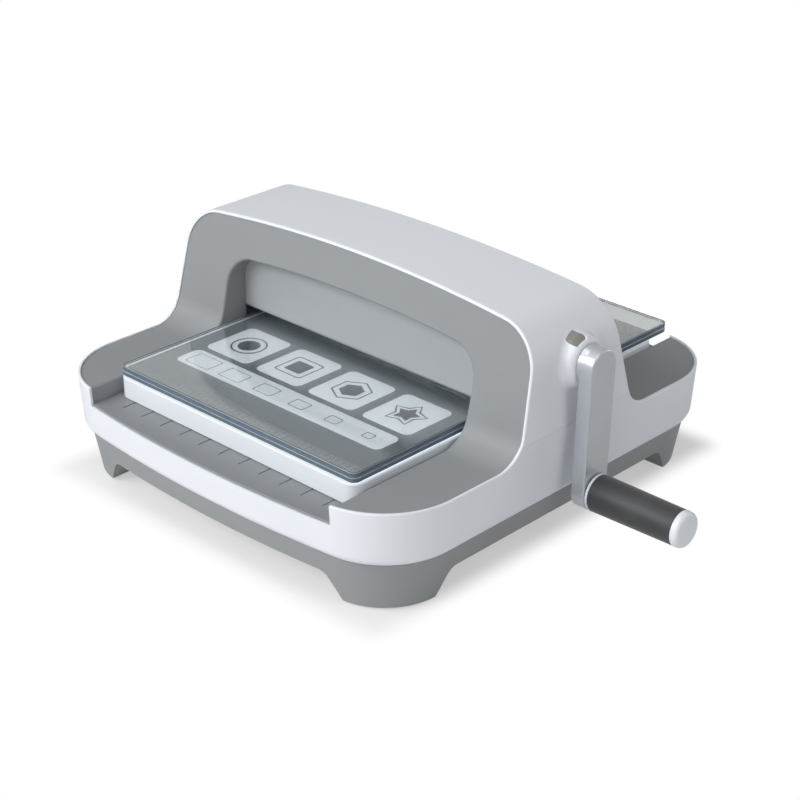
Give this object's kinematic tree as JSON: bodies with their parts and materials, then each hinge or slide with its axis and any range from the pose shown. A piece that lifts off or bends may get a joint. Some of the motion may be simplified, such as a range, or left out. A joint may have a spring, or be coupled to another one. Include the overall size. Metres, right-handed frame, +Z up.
{
  "type": "die cutting machine",
  "caption": "Tabletop roller die cutter: a side crank turns geared rollers under a bridge and feeds a platform with clear cutting pads from front to back.",
  "frame": {"origin": "on the table, below the middle of the box round the whole machine, which lies 45 mm to the crank side of the body's middle plane and 4 mm in front of the rollers", "axes": "+X to the crank side, +Y from the feeding front to the back, +Z up"},
  "size_m": [0.4172, 0.3486, 0.1648],
  "materials": {
    "white_plastic": "smooth satin gloss",
    "grey_plastic": "fine matt texture",
    "dark_grey_plastic": "fine matt texture",
    "rubber_black": "matt",
    "steel": "ground",
    "zinc_fastener": "zinc plated",
    "bronze": "sintered",
    "silver_cast": "satin silver",
    "grip_rubber": "soft matt",
    "button_grey": "satin",
    "clear_acrylic": "polished clear",
    "card": "printed matt"
  },
  "bodies": {
    "frame": {"base_skirt": "dark_grey_plastic", "foot_pads": "rubber_black", "base_screws": "zinc_fastener", "base_band": "white_plastic", "front_feed_tray": "grey_plastic", "rear_feed_tray": "grey_plastic", "front_fascia": "grey_plastic", "rear_fascia": "grey_plastic", "bridge_cover": "white_plastic", "front_roller_shroud": "grey_plastic", "rear_roller_shroud": "grey_plastic", "left_side_plate": "steel", "right_side_plate": "steel", "plate_bolts": "zinc_fastener", "upper_front_tie_rod": "steel", "upper_rear_tie_rod": "steel", "lower_front_tie_rod": "steel", "lower_rear_tie_rod": "steel", "tie_rod_nuts": "zinc_fastener", "upper_left_bush": "bronze", "upper_right_bush": "bronze", "lower_left_bush": "bronze", "lower_right_bush": "bronze", "inner_crank_bush": "bronze", "outer_crank_bush": "bronze", "gear_plate": "steel", "gear_plate_spacers": "steel", "gear_plate_screws": "zinc_fastener", "button_spring": "steel"},
    "crank": {"crank_arm": "silver_cast", "crank_shaft": "steel", "crank_pinion": "steel", "grip_spindle": "steel"},
    "grip": {"grip_collar": "white_plastic", "grip_sleeve": "grip_rubber", "grip_cap": "white_plastic"},
    "upper_roller": {"upper_roller": "steel", "upper_drive_gear": "steel", "upper_mesh_gear": "steel"},
    "lower_roller": {"lower_roller": "steel", "lower_mesh_gear": "steel"},
    "platform": {"platform_tray": "white_plastic", "platform_sole": "white_plastic", "guide_card": "card", "lower_cutting_pad": "clear_acrylic", "upper_cutting_pad": "clear_acrylic"},
    "button": {"release_button": "button_grey"}
  },
  "joints": [
    {"name": "crank_turn", "type": "hinge", "parent": "frame", "child": "crank", "pos_m": [0.105, 0.004, 0.12565], "axis": [1, 0, 0], "range_deg": [-1240, 1220]},
    {"name": "grip_spin", "type": "hinge", "parent": "crank", "child": "grip", "pos_m": [0.171, 0.00103, 0.0406], "axis": [1, 0, 0], "continuous": true},
    {"name": "upper_roller_spin", "type": "hinge", "parent": "frame", "child": "upper_roller", "pos_m": [-0.045, 0.004, 0.0964], "axis": [1, 0, 0], "range_deg": [-615, 625]},
    {"name": "lower_roller_spin", "type": "hinge", "parent": "frame", "child": "lower_roller", "pos_m": [-0.045, 0.004, 0.0484], "axis": [1, 0, 0], "range_deg": [-625, 615]},
    {"name": "platform_feed", "type": "slide", "parent": "frame", "child": "platform", "axis": [0, 1, 0], "range_m": [-0.13408, 0.13626]},
    {"name": "release_button_press", "type": "slide", "parent": "frame", "child": "button", "axis": [-1, 0, 0], "range_m": [0, 0.0025], "stiffness_N_per_m": 400, "deforming": ["button_spring"]}
  ],
  "couplings": [
    {"joint": "upper_roller_spin", "follows": "crank_turn", "ratio": -0.5},
    {"joint": "lower_roller_spin", "follows": "crank_turn", "ratio": 0.5},
    {"joint": "platform_feed", "follows": "crank_turn", "m_per_rad": -0.00625}
  ]
}
